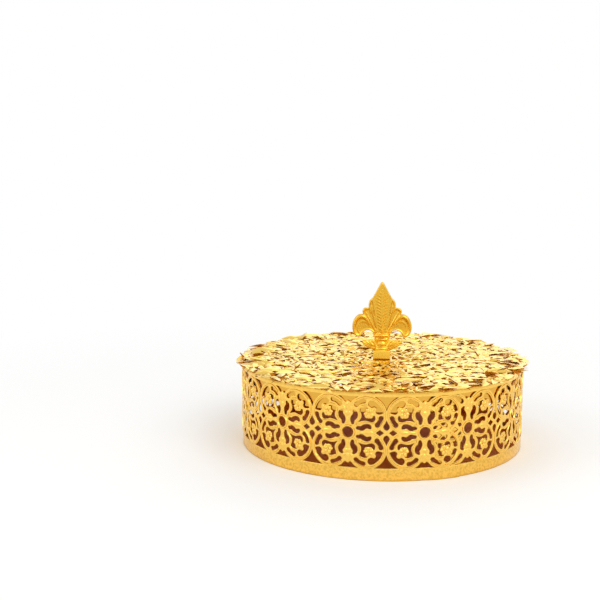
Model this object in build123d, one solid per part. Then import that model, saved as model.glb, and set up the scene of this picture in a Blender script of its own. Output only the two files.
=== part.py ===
from build123d import *
import os
from math import cos, degrees, pi, radians, sin

# A round pierced sheet-metal box for dry fruit, with a lift-off filigree lid.
# Millimetres, +Z up. The origin is the middle of the underside, on the table.
# Angles round the box are counted from the front (-Y) towards the right (+X).

# Overall sizes
BOX_DIAMETER = 200.0
WALL_HEIGHT = 58.0
FINIAL_HEIGHT = 56.4
FINIAL_WIDTH = 42.4

# Rounds are drawn as narrow flats, so that cut edges stay straight
FLATS = 36
SMALL_FLATS = 20

# Wall band: one pierced strip, rolled round and lapped over its own start
WALL_SHEET = 0.8
BOTTOM_BORDER = 8.7
TOP_BORDER = 2.8
LAP_LENGTH = 18.2
LAP_END_ANGLE = 30.6
LAP_SINK = 0.1
LAP_STEP = 2.0

# Rosettes pierced in the wall band
RING_GAP = 3.2
RING_BAR = 1.5
HUB_HOLE_RADIUS = 3.2
HUB_HOLE_SIDES = 10
SLOT_WIDTH = 2.2
WINDOW_WIDTH = 3.4

# Floor of the box
BASE_SHEET = 0.8
SOLDER_GAP = 0.1

# Lid
LID_SHEET = 1.0
LID_OVERHANG = 6.0
EDGE_LEAF_DEPTH = 4.2
EDGE_LEAF_COUNT = 36
LEAF_HOLE_LENGTH = 19.0
LEAF_HOLE_WIDTH = 6.4
LEAF_LEAN = 35.0
WHORL_SPACING = 25.0
COLLAR_DEPTH = 13.0
COLLAR_SHEET = 0.8
LID_CLEARANCE = 0.8

# Finial, cast flat, with its fastening
LEAF_THICKNESS = 4.4
SCROLL_THICKNESS = 3.4
BAND_THICKNESS = 7.0
STEM_THICKNESS = 5.2
FOOT_WIDTH = 11.6
FOOT_DEPTH = 9.6
FOOT_HEIGHT = 6.6
SEAT_THICKNESS = 0.6
SEAT_MARGIN = 1.4
WASHER_THICKNESS = 1.0
WASHER_RADIUS = 4.5
SCREW_RADIUS = 2.0
SCREW_CLEARANCE = 0.05
SCREW_HEAD_RADIUS = 4.0
SCREW_HEAD_HEIGHT = 2.6
SCREW_BITE = 4.6
BORE_SPARE = 0.6
DRIVE_SLOT = 1.0

# Values that follow from the sizes above
OUTER_RADIUS = BOX_DIAMETER / 2
INNER_RADIUS = OUTER_RADIUS - WALL_SHEET
PATTERN_HEIGHT = WALL_HEIGHT - BOTTOM_BORDER - TOP_BORDER
PATTERN_MIDDLE = BOTTOM_BORDER + PATTERN_HEIGHT / 2
RING_RADIUS = PATTERN_HEIGHT / 4
STRIP_LENGTH = 2 * pi * OUTER_RADIUS + LAP_LENGTH
ROSETTE_COUNT = round(STRIP_LENGTH / (4 * RING_RADIUS + RING_GAP))
ROSETTE_WIDTH = STRIP_LENGTH / ROSETTE_COUNT
LID_RADIUS = OUTER_RADIUS + LID_OVERHANG
LID_TOP = WALL_HEIGHT + LID_SHEET
FOOT_BOTTOM = LID_TOP + SEAT_THICKNESS
SCREW_HOLE_RADIUS = SCREW_RADIUS + SCREW_CLEARANCE


def polar(radius, angle):
    """A point at an angle in degrees, as x and y."""
    return (radius * cos(radians(angle)), radius * sin(radians(angle)))


def arc_points(radius, start, end, chords):
    """Points along an arc about the origin, both ends included."""
    step = (end - start) / chords
    return [polar(radius, start + step * i) for i in range(chords + 1)]


def flipped(outline, flip_x, flip_y):
    return [(x * flip_x, y * flip_y) for x, y in outline]


def moved(outline, dx, dy):
    return [(x + dx, y + dy) for x, y in outline]


def round_plate(radius):
    return RegularPolygon(radius, FLATS)


def small_round(radius):
    return RegularPolygon(radius, SMALL_FLATS)


def small_rod(radius, height):
    """An upright round bar that stands on its origin, or hangs from it if the height is negative."""
    return extrude(small_round(radius), amount=height)


def round_band(inner, outer, height):
    return extrude(round_plate(outer) - round_plate(inner), amount=height)


# Openings in the strip, drawn flat: x runs along the strip and y runs up


def arc_slot(outer, width, start, end):
    """A slot about a ring's centre, bent once on its outside."""
    return arc_points(outer, start, end, 2) + arc_points(outer - width, end, start, 1)


def ring_outlines():
    """Openings inside the upper right ring, about the ring's own centre."""
    outer = RING_RADIUS - RING_BAR
    low = -0.36 * RING_RADIUS
    high = 0.46 * RING_RADIUS
    elbow = -0.15 * RING_RADIUS
    taper = 0.05 * RING_RADIUS
    leg = [(high, low + taper), (high - taper, elbow)]
    other_leg = [(y, x) for x, y in reversed(leg)]
    return [
        arc_slot(outer, SLOT_WIDTH, -51, -6),
        arc_slot(outer, SLOT_WIDTH, 96, 141),
        arc_slot(outer, WINDOW_WIDTH, 8, 82),
        [(low, low)] + leg + [(elbow, elbow)] + other_leg,
    ]


def spoke_outline():
    """The slot above the right-hand spoke, about the rosette's centre."""
    ring = RING_RADIUS
    low_side = [(0.47 * ring, 0.25 * ring), (0.76 * ring, 0.12 * ring)]
    return low_side + [(1.3 * ring, 0.27 * ring), (1.06 * ring, 0.48 * ring)]


def border_outline():
    """The small opening between a rosette's spoke and the bottom border."""
    base = -2 * RING_RADIUS
    wide = 0.52 * RING_RADIUS
    narrow = 0.15 * RING_RADIUS
    top = base + 0.29 * RING_RADIUS
    return [(-wide, base), (wide, base), (narrow, top), (-narrow, top)]


def gusset_outline():
    """The large three-cornered opening between two rosettes, at the border."""
    base = -2 * RING_RADIUS
    wide = 0.6 * RING_RADIUS
    waist = (0.2 * RING_RADIUS, base + 0.34 * RING_RADIUS)
    peak = (0, base + 0.72 * RING_RADIUS)
    return [(-wide, base), (wide, base), waist, peak, (-waist[0], waist[1])]


def cluster_outlines():
    """Four small openings round the cross between two rosettes."""
    ring = RING_RADIUS
    drop = [(0, 0.68 * ring), (-0.17 * ring, 0.35 * ring), (0, 0.16 * ring), (0.17 * ring, 0.35 * ring)]
    diamond = [(0.17 * ring, 0), (0.36 * ring, 0.16 * ring), (0.57 * ring, 0), (0.36 * ring, -0.16 * ring)]
    return [drop, flipped(drop, 1, -1), diamond, flipped(diamond, -1, 1)]


def rosette_outlines():
    """All openings of one rosette but the hub hole, about its centre."""
    outlines = [border_outline(), flipped(border_outline(), 1, -1)]
    for flip_x in (1, -1):
        for flip_y in (1, -1):
            for outline in ring_outlines():
                placed = moved(outline, RING_RADIUS, RING_RADIUS)
                outlines.append(flipped(placed, flip_x, flip_y))
            outlines.append(flipped(spoke_outline(), flip_x, flip_y))
            upright_spoke = [(y, x) for x, y in spoke_outline()]
            outlines.append(flipped(upright_spoke, flip_x, flip_y))
    return outlines


def boundary_outlines():
    """Openings on the line between two rosettes, about that line."""
    return cluster_outlines() + [gusset_outline(), flipped(gusset_outline(), 1, -1)]


# The strip rolled up. A place on it is a distance back from its outer cut end


def wall_plane(place):
    """A plane square to the wall, at mid pattern."""
    turn = radians(LAP_END_ANGLE) - place / OUTER_RADIUS
    outward = (sin(turn), -cos(turn), 0)
    origin = (OUTER_RADIUS * outward[0], OUTER_RADIUS * outward[1], PATTERN_MIDDLE)
    return Plane(origin=origin, x_dir=(cos(turn), sin(turn), 0), z_dir=outward)


def through_wall(shape, place):
    return extrude(wall_plane(place) * shape, amount=3 * WALL_SHEET, both=True)


def outline_cutter(outline, place):
    """A prism for one opening, with the place of the opening's own middle."""
    middle = sum(x for x, _ in outline) / len(outline)
    shape = Polygon(*moved(outline, -middle, 0), align=None)
    return (place - middle, through_wall(shape, place - middle))


def strip_cutters():
    """A prism and a place for every opening of the strip."""
    cutters = []
    for rosette in range(ROSETTE_COUNT):
        centre = (rosette + 0.5) * ROSETTE_WIDTH
        cutters.append((centre, through_wall(RegularPolygon(HUB_HOLE_RADIUS, HUB_HOLE_SIDES), centre)))
        cutters += [outline_cutter(outline, centre) for outline in rosette_outlines()]
        if rosette > 0:
            edge = rosette * ROSETTE_WIDTH
            cutters += [outline_cutter(outline, edge) for outline in boundary_outlines()]
    return cutters


def lap_tongue():
    """The outer layer of the lap, from its step to the strip's cut end."""
    span = degrees((LAP_LENGTH + LAP_STEP) / OUTER_RADIUS)
    outer = OUTER_RADIUS + WALL_SHEET
    end = LAP_END_ANGLE - 90
    reach = 2 * outer
    wedge = Polygon((0, 0), polar(reach, end - span), polar(reach, end), align=None)
    layer = round_plate(outer) - round_plate(OUTER_RADIUS - LAP_SINK)
    return extrude(layer & wedge, amount=WALL_HEIGHT)


def make_wall_band():
    """The pierced strip. Its start lies inside the lap and its end outside."""
    cutters = strip_cutters()
    inner_layer = [prism for place, prism in cutters if place > LAP_LENGTH]
    outer_layer = [prism for place, prism in cutters if place < LAP_LENGTH + RING_RADIUS]
    ring = round_band(INNER_RADIUS, OUTER_RADIUS, WALL_HEIGHT) - inner_layer
    return ring + (lap_tongue() - outer_layer)


def make_base_plate():
    return extrude(round_plate(INNER_RADIUS - SOLDER_GAP), amount=BASE_SHEET)


def make_lid_collar():
    """The plain ring under the lid that drops inside the wall."""
    outer = INNER_RADIUS - LID_CLEARANCE
    ring = round_band(outer - COLLAR_SHEET, outer, COLLAR_DEPTH)
    return Pos(0, 0, WALL_HEIGHT - COLLAR_DEPTH) * ring


def lid_edge():
    """The lid's outline: a whorl of leaf tips, each leaning to one side."""
    step = 360 / EDGE_LEAF_COUNT
    points = []
    for leaf in range(EDGE_LEAF_COUNT):
        tip = leaf * step
        points.append(polar(LID_RADIUS, tip))
        points.append(polar(LID_RADIUS - 0.35 * EDGE_LEAF_DEPTH, tip + 0.36 * step))
        points.append(polar(LID_RADIUS - EDGE_LEAF_DEPTH, tip + 0.62 * step))
    return Polygon(*points, align=None)


def leaf_holes(radius, lean):
    """A whorl of leaf-shaped openings, as many as fit round its circle."""
    long, wide = LEAF_HOLE_LENGTH / 2, LEAF_HOLE_WIDTH / 2
    leaf = Polygon((long, 0), (0.1 * long, wide), (-long, 0), (-0.1 * long, -wide), align=None)
    count = int(2 * pi * radius / (LEAF_HOLE_LENGTH + 2 * LEAF_HOLE_WIDTH))
    return PolarLocations(radius, count) * (Rot(0, 0, lean) * leaf)


def make_lid_filigree():
    """The lid's sheet, with its leafy edge and whorls of leaf openings."""
    sheet = lid_edge()
    radius = OUTER_RADIUS - WHORL_SPACING / 2
    lean = LEAF_LEAN
    while radius > WHORL_SPACING / 2 + SEAT_MARGIN + FOOT_WIDTH:
        sheet -= leaf_holes(radius, lean)
        radius -= WHORL_SPACING
        lean = -lean
    sheet -= small_round(SCREW_HOLE_RADIUS)
    return Pos(0, 0, WALL_HEIGHT) * extrude(sheet, amount=LID_SHEET)


# The finial. Its points are shares of its half width and of its height


def at(across, up):
    return (across * FINIAL_WIDTH / 2, FOOT_BOTTOM + up * FINIAL_HEIGHT)


def upright_slab(edges, thickness):
    """A slab of the outline that the finial shows to the front."""
    return extrude(Plane.XZ * make_face(edges), amount=thickness / 2, both=True)


def both_sides(solid):
    return solid + mirror(solid, about=Plane.YZ)


def finial_leaf():
    """The right half of the pointed middle leaf, with its two lobes."""
    spear = Polyline(at(0, 1), at(0.2, 0.88), at(0.34, 0.79))
    upper_lobe = Polyline(at(0.34, 0.79), at(0.42, 0.76), at(0.45, 0.71), at(0.41, 0.675))
    lower_lobe = Polyline(at(0.41, 0.675), at(0.6, 0.67), at(0.66, 0.635), at(0.6, 0.58))
    return spear + upper_lobe + lower_lobe + Polyline(at(0.6, 0.58), at(0.25, 0.35), at(0, 0.35), at(0, 1))


def finial_scroll():
    """The right-hand scroll, which rises from the band and curls down round an opening."""
    crest = ThreePointArc(at(0.425, 0.514), at(0.703, 0.587), at(1, 0.475))
    back = ThreePointArc(at(1, 0.475), at(0.948, 0.383), at(0.8, 0.307))
    opening = ThreePointArc(at(0.72, 0.319), at(0.49, 0.395), at(0.264, 0.348))
    root = Polyline(at(0.264, 0.348), at(0.2, 0.348), at(0.2, 0.48), at(0.425, 0.514))
    return crest + back + Line(at(0.8, 0.307), at(0.72, 0.319)) + opening + root


def finial_fan():
    """The right-hand fan that spreads under the band."""
    top = ThreePointArc(at(0.14, 0.28), at(0.38, 0.254), at(0.6, 0.266))
    tip = Polyline(at(0.6, 0.266), at(0.67, 0.252), at(0.655, 0.216), at(0.51, 0.165), at(0.25, 0.115))
    return top + tip + Polyline(at(0.25, 0.115), at(0.14, 0.115), at(0.14, 0.28))


def centred_bar(width, depth, low, high):
    """A bar on the finial's axis between two shares of its height."""
    bottom, top = at(0, low)[1], at(0, high)[1]
    return Pos(0, 0, (bottom + top) / 2) * Box(width, depth, top - bottom)


def finial_foot():
    foot = Pos(0, 0, FOOT_BOTTOM + FOOT_HEIGHT / 2) * Box(FOOT_WIDTH, FOOT_DEPTH, FOOT_HEIGHT)
    return chamfer(foot.edges().group_by(Axis.Z)[-1], FOOT_HEIGHT / 7)


def make_finial():
    """The flat cast flower on its foot, bored from below for the screw."""
    flower = both_sides(upright_slab(finial_leaf(), LEAF_THICKNESS))
    flower += both_sides(upright_slab(finial_scroll(), SCROLL_THICKNESS))
    flower += both_sides(upright_slab(finial_fan(), SCROLL_THICKNESS))
    band_width = 0.6 * FINIAL_WIDTH / 2
    flower += centred_bar(band_width, BAND_THICKNESS, 0.32, 0.356)
    flower += centred_bar(0.9 * band_width, BAND_THICKNESS, 0.268, 0.302)
    flower += centred_bar(0.8 * band_width, STEM_THICKNESS, 0.26, 0.37)
    flower += centred_bar(0.7 * band_width, STEM_THICKNESS, 0.9 * FOOT_HEIGHT / FINIAL_HEIGHT, 0.27)
    bore = small_rod(SCREW_HOLE_RADIUS, SCREW_BITE + BORE_SPARE)
    return flower + finial_foot() - Pos(0, 0, FOOT_BOTTOM) * bore


def make_finial_seat():
    """The thin square plate that the foot stands on."""
    plate = Rectangle(FOOT_WIDTH + 2 * SEAT_MARGIN, FOOT_DEPTH + 2 * SEAT_MARGIN)
    return Pos(0, 0, LID_TOP) * extrude(plate - small_round(SCREW_HOLE_RADIUS), amount=SEAT_THICKNESS)


def make_finial_washer():
    """The washer against the lid's underside."""
    ring = small_round(WASHER_RADIUS) - small_round(SCREW_HOLE_RADIUS)
    return Pos(0, 0, WALL_HEIGHT - WASHER_THICKNESS) * extrude(ring, amount=WASHER_THICKNESS)


def make_finial_screw():
    """A slotted screw, driven up through the washer, the lid and the seat."""
    head_top = WALL_HEIGHT - WASHER_THICKNESS
    shank = small_rod(SCREW_RADIUS, FOOT_BOTTOM + SCREW_BITE - head_top)
    head = small_rod(SCREW_HEAD_RADIUS, -SCREW_HEAD_HEIGHT)
    head -= Pos(0, 0, -SCREW_HEAD_HEIGHT) * Box(3 * SCREW_HEAD_RADIUS, DRIVE_SLOT, 2 * DRIVE_SLOT)
    return Pos(0, 0, head_top) * (head + shank)


PARTS = {
    "wall_band": make_wall_band,
    "base_plate": make_base_plate,
    "lid_filigree": make_lid_filigree,
    "lid_collar": make_lid_collar,
    "finial": make_finial,
    "finial_seat": make_finial_seat,
    "finial_washer": make_finial_washer,
    "finial_screw": make_finial_screw,
}

os.makedirs("parts", exist_ok=True)
for name, make in PARTS.items():
    export_step(make(), "parts/" + name + ".step")
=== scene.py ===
"""A round gold-coloured dry fruit box with a pierced wall, a leafy lid and a cast flower on top.

The file is laid out as an add-on: each piece of the box has its own operator in the sidebar.
Outlines are written in millimetres, +Z is up, and the box's front faces -Y.
"""

from math import atan2, cos, hypot, pi, radians, sin, sqrt
from random import Random

import bpy
import numpy as np
from mathutils import Euler, Matrix, Vector


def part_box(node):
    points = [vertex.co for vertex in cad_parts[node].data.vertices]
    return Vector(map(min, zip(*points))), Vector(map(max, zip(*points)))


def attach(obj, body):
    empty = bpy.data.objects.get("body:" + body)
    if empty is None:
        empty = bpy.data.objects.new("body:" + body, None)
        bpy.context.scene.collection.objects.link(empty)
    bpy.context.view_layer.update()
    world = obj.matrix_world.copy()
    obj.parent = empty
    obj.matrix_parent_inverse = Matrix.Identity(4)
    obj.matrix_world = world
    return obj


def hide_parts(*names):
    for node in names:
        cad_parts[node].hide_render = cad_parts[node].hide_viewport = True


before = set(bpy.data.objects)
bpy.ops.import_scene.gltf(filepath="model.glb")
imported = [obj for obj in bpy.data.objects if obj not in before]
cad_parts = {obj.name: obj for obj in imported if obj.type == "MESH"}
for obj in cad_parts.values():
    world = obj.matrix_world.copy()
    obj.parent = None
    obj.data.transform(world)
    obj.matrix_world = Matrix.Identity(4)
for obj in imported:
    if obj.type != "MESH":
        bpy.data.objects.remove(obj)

bl_info = {
    "name": "Dry Fruit Box",
    "version": (1, 0, 0),
    "blender": (4, 5, 0),
    "location": "3D View > Sidebar > Fruit Box",
    "description": "Models the pierced wall, the leafy lid and the cast flower of a round dry fruit box",
    "category": "Object",
}

MM = 0.001


def linear(code):
    """A colour written as six sRGB hex digits, as linear red, green, blue and alpha."""
    channels = [int(code[i:i + 2], 16) / 255 for i in (0, 2, 4)]
    return [c / 12.92 if c <= 0.04045 else ((c + 0.055) / 1.055) ** 2.4 for c in channels] + [1.0]


def span(nodes, axis):
    """The lowest and highest place of some CAD nodes along an axis, in millimetres."""
    boxes = [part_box(name) for name in nodes]
    return min(low[axis] for low, _ in boxes) / MM, max(high[axis] for _, high in boxes) / MM


# Sizes read from the frame
BOX_RADIUS = span(["wall_band"], 0)[1]
WALL_TOP = span(["wall_band"], 2)[1]
LID_RADIUS = span(["lid_filigree"], 0)[1]
COLLAR_LOW, COLLAR_TOP = span(["lid_collar"], 2)
COLLAR_RADIUS = span(["lid_collar"], 0)[1]
FLOOR_RADIUS = span(["base_plate"], 0)[1]
FLOOR_TOP = span(["base_plate"], 2)[1]
FINIAL_LOW, FINIAL_TIP = span(["finial"], 2)
FINIAL_HALF = span(["finial"], 0)[1]


class FruitBoxSizes(bpy.types.PropertyGroup):
    """Sizes of the box that its frame doesn't fix."""

    sheet: bpy.props.FloatProperty(
        name="Sheet", description="Thickness of the wall's sheet", default=0.8 * MM, unit="LENGTH")
    low_border: bpy.props.FloatProperty(
        name="Low border", description="Plain border under the rosettes", default=8.7 * MM, unit="LENGTH")
    top_border: bpy.props.FloatProperty(
        name="Top border", description="Plain border over the rosettes", default=2.8 * MM, unit="LENGTH")
    lap: bpy.props.FloatProperty(
        name="Lap", description="How far the wall strip overlaps its own start",
        default=18.2 * MM, unit="LENGTH")
    lap_end: bpy.props.FloatProperty(
        name="Lap end", description="Where the strip's outer end lies, from the front to the right",
        default=radians(30.6), unit="ROTATION")
    rosettes: bpy.props.IntProperty(
        name="Rosettes", description="Rosettes pierced in the strip", default=13, min=3)
    edge_rounding: bpy.props.FloatProperty(
        name="Edge rounding", description="Rounding of the pierced edges", default=0.3 * MM, unit="LENGTH")
    leaf_length: bpy.props.FloatProperty(
        name="Leaf length", description="Length of the lid's larger leaves", default=19.0 * MM, unit="LENGTH")
    leaf_width: bpy.props.FloatProperty(
        name="Leaf width", description="Width of the lid's larger leaves", default=6.3 * MM, unit="LENGTH")
    seed: bpy.props.IntProperty(
        name="Seed", description="Picks another scatter of the lid's leaves", default=7)


class FruitBoxColours(bpy.types.PropertyGroup):
    """Colours of the box's metals and of the ground it stands on."""

    wall: bpy.props.FloatVectorProperty(
        name="Wall", description="Lacquered brass of the wall",
        default=linear("FCCD62"), size=4, subtype="COLOR")
    lid: bpy.props.FloatVectorProperty(
        name="Lid", description="Bright gilding of the lid",
        default=linear("E8C25A"), size=4, subtype="COLOR")
    finial: bpy.props.FloatVectorProperty(
        name="Finial", description="Gilding of the cast flower",
        default=linear("F9C644"), size=4, subtype="COLOR")
    collar: bpy.props.FloatVectorProperty(
        name="Collar", description="Rolled strip of the collar",
        default=linear("E4AE48"), size=4, subtype="COLOR")
    # The floor plate's red-brown is painted shade and reflection of the box's gold inside.
    floor: bpy.props.FloatVectorProperty(
        name="Floor plate", description="Brown lacquer of the floor plate",
        default=linear("E0780C"), size=4, subtype="COLOR")
    ground: bpy.props.FloatVectorProperty(
        name="Ground", description="Pale ground under the box",
        default=linear("F8F8F7"), size=4, subtype="COLOR")


# Working on objects
DOUBLE_GAP = 0.002
SEAM_GAP = 0.001
CUT_GAP = 0.0005


def pick(obj):
    """Selects one object alone and makes it the active one."""
    bpy.ops.object.select_all(action="DESELECT")
    obj.select_set(True)
    bpy.context.view_layer.objects.active = obj
    return obj


def place(data, name):
    """A new object for a mesh or curve, selected alone."""
    obj = bpy.data.objects.new(name, data)
    bpy.context.scene.collection.objects.link(obj)
    return pick(obj)


def modify(obj, kind, **settings):
    """Adds a modifier and applies it."""
    pick(obj)
    modifier = obj.modifiers.new(kind, kind)
    for name, value in settings.items():
        setattr(modifier, name, value)
    bpy.ops.object.modifier_apply(modifier=modifier.name)
    return obj


def edit(obj, *steps):
    """Runs edit mode steps on all of an object's mesh."""
    pick(obj)
    bpy.ops.object.mode_set(mode="EDIT")
    for step in steps:
        bpy.ops.mesh.select_all(action="SELECT")
        step()
    bpy.ops.object.mode_set(mode="OBJECT")
    return obj


def merge_doubles():
    bpy.ops.mesh.remove_doubles(threshold=DOUBLE_GAP)


def face_outwards():
    bpy.ops.mesh.normals_make_consistent(inside=False)


def join(pieces, name):
    """Joins objects into one mesh object, with their places put into the mesh."""
    pick(pieces[0])
    for piece in pieces:
        piece.select_set(True)
    if len(pieces) > 1:
        bpy.ops.object.join()
    joined = bpy.context.object
    joined.name = name
    bpy.ops.object.transform_apply(location=True, rotation=True, scale=True)
    return joined


def hand_over(obj, body, nodes, material, crease=35):
    """Turns a finished piece from millimetres to metres and gives it its body and finish."""
    obj.data.transform(Matrix.Scale(MM, 4))
    obj.data.name = obj.name
    obj.data.materials.clear()
    obj.data.materials.append(material)
    pick(obj)
    bpy.ops.object.shade_smooth_by_angle(angle=radians(crease))
    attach(obj, body)
    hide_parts(*nodes)


# Outlines and bars


def turned(x, y, angle):
    return (x * cos(angle) - y * sin(angle), x * sin(angle) + y * cos(angle))


def arc(radius, start, end, count):
    """Points along an arc, its ends included. Angles are in degrees."""
    angles = [radians(start + (end - start) * i / (count - 1)) for i in range(count)]
    return [(radius * cos(a), radius * sin(a)) for a in angles]


def circle(radius, count):
    return arc(radius, 0, 360 - 360 / count, count)


def moved(points, dx, dy):
    return [(x + dx, y + dy) for x, y in points]


def scaled(points, kx, ky):
    return [(x * kx, y * ky) for x, y in points]


def add_outline(curve, points, corners=(), steps=3, closed=True):
    """Adds a smooth line through some points. The listed corners stay sharp."""
    spline = curve.splines.new("BEZIER")
    spline.bezier_points.add(len(points) - 1)
    spline.use_cyclic_u = closed
    spline.resolution_u = steps
    for knot, point in zip(spline.bezier_points, points):
        knot.co = (*point, 0)[:3]
    for i, knot in enumerate(spline.bezier_points):
        kind = "VECTOR" if corners == "all" or i in corners else "AUTO"
        knot.handle_left_type = kind
        knot.handle_right_type = kind
    return spline


def cut_plate(name, outlines, thickness, rounding, rings=1, kerf=0.0):
    """A flat plate in XY with rounded edges. Each outline is points, corners and steps."""
    curve = bpy.data.curves.new(name, "CURVE")
    curve.dimensions = "2D"
    curve.fill_mode = "BOTH"
    curve.extrude = thickness / 2 - rounding
    curve.bevel_depth = rounding
    curve.bevel_resolution = rings
    curve.offset = -rounding - kerf
    for points, corners, steps in outlines:
        add_outline(curve, points, corners, steps)
    plate = place(curve, name)
    bpy.ops.object.convert(target="MESH")
    return edit(plate, merge_doubles, face_outwards)


def bar(name, points, radii, sides=2, steps=4, closed=False):
    """A round bar through points in space, with a radius at each."""
    curve = bpy.data.curves.new(name, "CURVE")
    curve.dimensions = "3D"
    curve.bevel_depth = 1.0
    curve.bevel_resolution = sides
    curve.use_fill_caps = not closed
    spline = add_outline(curve, points, (), steps, closed)
    for knot, radius in zip(spline.bezier_points, radii):
        knot.radius = radius
    rod = place(curve, name)
    bpy.ops.object.convert(target="MESH")
    return edit(rod, merge_doubles, face_outwards)


def bead(place_at, sizes, turn=0.0, segments=8, rings=6):
    """A rounded boss: a ball stretched along its own axes and turned about Z."""
    bpy.ops.mesh.primitive_uv_sphere_add(
        segments=segments, ring_count=rings, radius=1, location=place_at, rotation=(0, 0, turn))
    boss = bpy.context.object
    boss.scale = sizes
    bpy.ops.object.transform_apply(location=True, rotation=True, scale=True)
    return boss


# The wall band. A rosette's openings are drawn for one quarter: across and up from its hub
HALF_ROSETTE = 24.87
HALF_PATTERN = 23.25
SPARE_WIDTH = 7.5
HUB_HOLE = 3.15
RING = (12.15, 11.6)
RING_BAR = 11.5
SLOT = (10.2, 8.1)
SLOT_STRETCH = 1.03
KERF = 0.12
BENDS = 6
JOGGLE_LENGTH = 6.0
JOGGLE_GAP = 0.06

BESIDE_FLAT_SPOKE = [
    (5.4, 2.6), (6.2, 1.9), (7.4, 1.8), (8.4, 1.3), (10.5, 1.8), (11.4, 2.7), (12.7, 3.0), (14.6, 2.5),
    (15.2, 3.3), (14.3, 5.1), (12.7, 5.6), (11.2, 5.4), (9.6, 4.8), (8.4, 3.9), (6.9, 4.0), (5.8, 3.5)]
BESIDE_UPRIGHT_SPOKE = [
    (2.2, 6.0), (2.9, 5.2), (3.9, 5.7), (4.2, 7.8), (5.6, 9.0), (6.3, 11.3), (5.9, 13.2), (4.9, 14.1),
    (3.3, 14.4), (3.6, 12.5), (2.4, 10.6), (1.7, 8.7)]
CORNER_WINDOW = [
    (7.2, 7.1), (9.4, 7.8), (12.2, 8.0), (15.6, 7.1), (17.3, 8.2), (17.5, 10.1), (16.7, 11.2), (16.1, 9.9),
    (14.5, 9.2), (13.4, 9.8), (12.3, 9.2), (11.2, 9.8), (10.6, 11.0), (11.0, 13.2), (11.5, 14.5),
    (13.0, 15.0), (12.3, 16.3), (9.8, 16.1), (8.0, 15.2), (8.8, 12.3), (8.9, 9.8), (8.2, 8.4)]
OUTER_WINDOW = [
    (22.5, 13.0), (21.2, 16.2), (18.3, 19.4), (15.0, 21.0), (13.4, 20.0), (13.1, 18.5), (15.0, 16.5),
    (16.8, 17.0), (18.2, 16.3), (18.4, 14.9), (17.9, 13.8), (19.4, 12.2)]
BUD_GAP = [
    (0, 20.7), (0.8, 20.4), (1.6, 19.7), (3.1, 21.1), (4.4, 22.3), (6.0, HALF_PATTERN), (0, HALF_PATTERN)]
GUSSET = [(0, 14.9), (1.1, 17.6), (2.4, 19.4), (4.3, 21.4), (7.0, HALF_PATTERN), (0, HALF_PATTERN)]
DROP = [(0, 7.9), (0.9, 6.0), (1.9, 4.1), (1.2, 2.5), (0, 1.8)]
DIAMOND = [(-6.6, 0), (-4.2, 1.8), (-1.9, 0), (-4.2, -1.8)]

# Raised work: vines as across and up, and bosses as their place, half sizes and turn
FLAT_VINE = [
    (4.6, 4.2), (7.0, 5.4), (9.3, 6.3), (12.3, 6.8), (15.2, 6.2), (17.2, 6.4), (18.7, 7.9), (19.3, 10.0)]
UPRIGHT_VINE = [
    (4.6, 4.2), (5.6, 7.0), (7.2, 9.4), (7.5, 12.0), (7.2, 14.6), (8.2, 16.7), (10.4, 17.6), (12.4, 17.9)]
FLOWER_PLACE = (13.6, 12.7)
PETAL = (1.5, 1.1, 0.45)
PETAL_REACH = 2.0
FACE_HEIGHT = 0.34
UPPER_BOSSES = [
    ((16.4, 15.3), (0.9, 0.9, 0.4), 0.0), ((0, 12.3), (1.9, 1.5, 0.4), 0.0),
    ((0, 16.9), (1.4, 3.0, 0.45), 0.0), ((2.5, 15.6), (0.8, 1.7, 0.35), -0.5),
    ((0, 7.4), (0.75, 2.2, 0.35), 0.0)]
SPOKE_BOSSES = [((7.8, 0), (2.4, 0.7, 0.35), 0.0), ((13.6, 0), (3.1, 1.2, 0.4), 0.0)]
HUB_RING = 4.1


def ring_slots():
    """The two narrow slots that follow the upper right ring."""
    outer, inner = SLOT
    slot = scaled(arc(outer, -51, -6, 4) + arc(inner, -6, -51, 4), SLOT_STRETCH, 1)
    other = scaled(arc(outer, 96, 141, 4) + arc(inner, 141, 96, 4), SLOT_STRETCH, 1)
    return [moved(slot, *RING), moved(other, *RING)]


def quarter_openings():
    """The openings of a rosette's upper right quarter that don't cross its edges."""
    openings = [(slot, (), 2) for slot in ring_slots()]
    openings += [(BESIDE_FLAT_SPOKE, (), 2), (BESIDE_UPRIGHT_SPOKE, (), 2)]
    return openings + [(CORNER_WINDOW, (0,), 2), (OUTER_WINDOW, (0,), 2)]


def mirrored_shape(right_half):
    """A whole outline from its right half, which starts and ends on the mirror line."""
    return right_half + [(-x, y) for x, y in reversed(right_half[1:-1])]


def edge_openings(half_width):
    """The openings that cross a rosette's mirror lines, all but the hub's hole."""
    both = []
    for flip in (1, -1):
        both.append((scaled(mirrored_shape(BUD_GAP), 1, flip), (0, 5, 7), 2))
        both.append((moved(scaled(mirrored_shape(GUSSET), 1, flip), half_width, 0), (0, 4, 6), 2))
        both.append((moved(scaled(mirrored_shape(DROP), 1, flip), half_width, 0), (0,), 2))
    return both + [(moved(DIAMOND, half_width, 0), (0, 1, 2, 3), 2)]


def half_rosette_outlines(half_width, low, high):
    """The outside and the openings of a plate that holds half a rosette."""
    stretch = half_width / HALF_ROSETTE
    low, high = low + KERF, high + KERF
    left, right = -SPARE_WIDTH, half_width + SPARE_WIDTH
    outside = [(left, -low), (right, -low), (right, high), (left, high)]
    outlines = [(outside, "all", 1), (circle(HUB_HOLE, 8), (), 3)]
    for points, corners, steps in quarter_openings():
        wide = scaled(points, stretch, 1)
        outlines.append((wide, corners, steps))
        outlines.append((scaled(wide, 1, -1), corners, steps))
    return outlines + edge_openings(half_width)


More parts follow.
